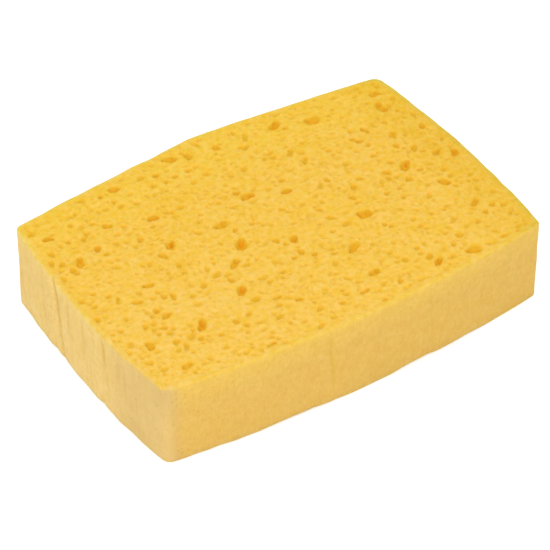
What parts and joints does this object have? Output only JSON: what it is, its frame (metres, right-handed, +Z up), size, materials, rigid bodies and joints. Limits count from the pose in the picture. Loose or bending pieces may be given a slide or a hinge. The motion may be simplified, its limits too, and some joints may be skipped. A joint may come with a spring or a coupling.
{
  "type": "decorating sponge",
  "caption": "Rectangular yellow cellulose sponge block with softly swollen sides and open pores in both sawn faces.",
  "frame": {"origin": "on the sawn face that the block stands on, under the middle of its overall length and width", "axes": "+Z up through the thickness, +X along the length, -Y towards the front long side"},
  "size_m": [0.178, 0.126, 0.038],
  "materials": {
    "cellulose": "matt yellow cellulose foam, deeper amber inside the pores, paler and smoother on the skin of the sides"
  },
  "bodies": {
    "root": {"sponge": "cellulose"}
  },
  "joints": []
}
